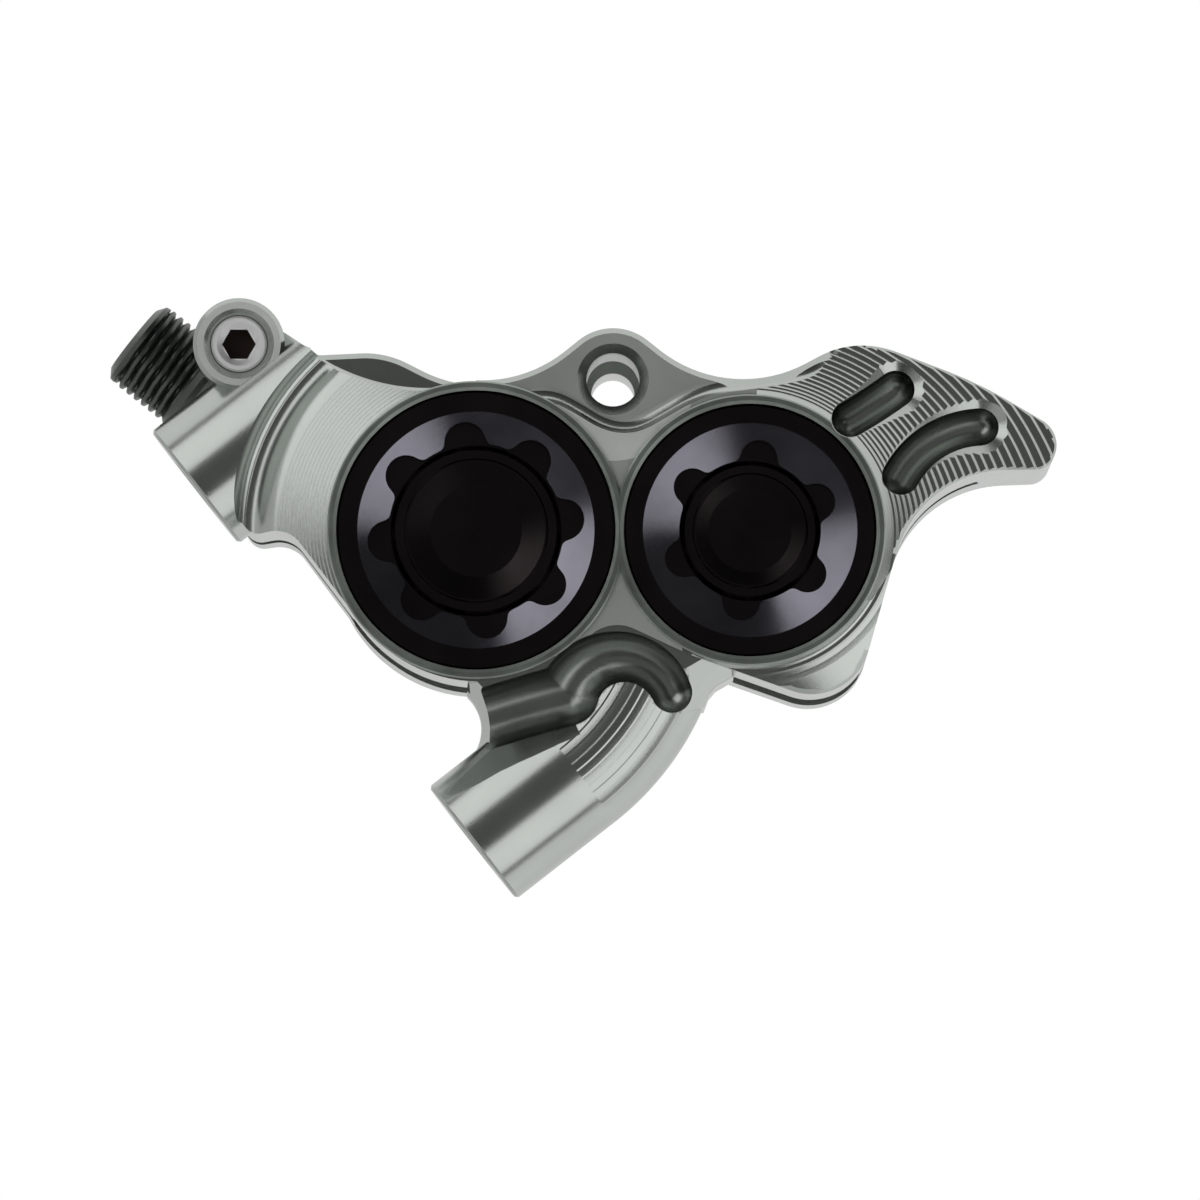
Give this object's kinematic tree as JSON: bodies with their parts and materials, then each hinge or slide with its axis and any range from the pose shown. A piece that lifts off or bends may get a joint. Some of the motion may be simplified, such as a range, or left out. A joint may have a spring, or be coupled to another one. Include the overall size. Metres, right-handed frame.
{
  "type": "bicycle disc brake caliper",
  "caption": "Flat-mount disc brake caliper for a bicycle, machined from one block, with paired pistons, threaded bore caps, a bleed screw and a hose connector.",
  "frame": {"origin": "midway between the two mounting holes, on the plane of the mounting faces", "axes": "+Z away from the frame's mounting surface, +X along the row of mounting holes towards the lower boss, +Y from the outboard side with the caps towards the wheel"},
  "size_m": [0.0548, 0.0348, 0.0536],
  "materials": {
    "anodised_body": "satin grey-green anodising over cutter marks",
    "black_cap": "gloss black anodising over turning marks",
    "bright_steel": "bright turned stainless steel",
    "dark_steel": "dark plated steel thread",
    "piston_steel": "ground stainless steel",
    "insulator": "moulded phenolic",
    "rubber_seal": "smooth rubber"
  },
  "bodies": {
    "caliper": {"body": "anodised_body", "bore_cap_large": "black_cap", "bore_cap_small": "black_cap", "cap_seal_large": "rubber_seal", "cap_seal_small": "rubber_seal", "piston_seal_large_outboard": "rubber_seal", "piston_seal_large_inboard": "rubber_seal", "piston_seal_small_outboard": "rubber_seal", "piston_seal_small_inboard": "rubber_seal", "hose_connector": "dark_steel", "connector_seal": "rubber_seal"},
    "large_outboard_piston": {"piston_large_outboard": "piston_steel", "piston_insulator_large_outboard": "insulator"},
    "large_inboard_piston": {"piston_large_inboard": "piston_steel", "piston_insulator_large_inboard": "insulator"},
    "small_outboard_piston": {"piston_small_outboard": "piston_steel", "piston_insulator_small_outboard": "insulator"},
    "small_inboard_piston": {"piston_small_inboard": "piston_steel", "piston_insulator_small_inboard": "insulator"},
    "bleed_ring": {"bleed_seal": "rubber_seal"},
    "bleed_plug": {"bleed_screw": "bright_steel"}
  },
  "joints": [
    {"name": "large_outboard_slide", "type": "slide", "parent": "caliper", "child": "large_outboard_piston", "axis": [0, 1, 0], "range_m": [0, 0.003]},
    {"name": "large_inboard_slide", "type": "slide", "parent": "caliper", "child": "large_inboard_piston", "axis": [0, -1, 0], "range_m": [0, 0.003]},
    {"name": "small_outboard_slide", "type": "slide", "parent": "caliper", "child": "small_outboard_piston", "axis": [0, 1, 0], "range_m": [0, 0.003]},
    {"name": "small_inboard_slide", "type": "slide", "parent": "caliper", "child": "small_inboard_piston", "axis": [0, -1, 0], "range_m": [0, 0.003]},
    {"name": "bleed_rise", "type": "slide", "parent": "caliper", "child": "bleed_ring", "axis": [0, -1, 0], "range_m": [0, 0.0005]},
    {"name": "bleed_turn", "type": "hinge", "parent": "bleed_ring", "child": "bleed_plug", "pos_m": [-0.02333, -0.0039, 0.0092], "axis": [0, -1, 0], "range_deg": [0, 360]}
  ],
  "couplings": [
    {"joint": "large_inboard_slide", "follows": "large_outboard_slide", "ratio": 1},
    {"joint": "small_outboard_slide", "follows": "large_outboard_slide", "ratio": 1},
    {"joint": "small_inboard_slide", "follows": "large_outboard_slide", "ratio": 1},
    {"joint": "bleed_turn", "follows": "bleed_rise", "rad_per_m": 12566}
  ]
}
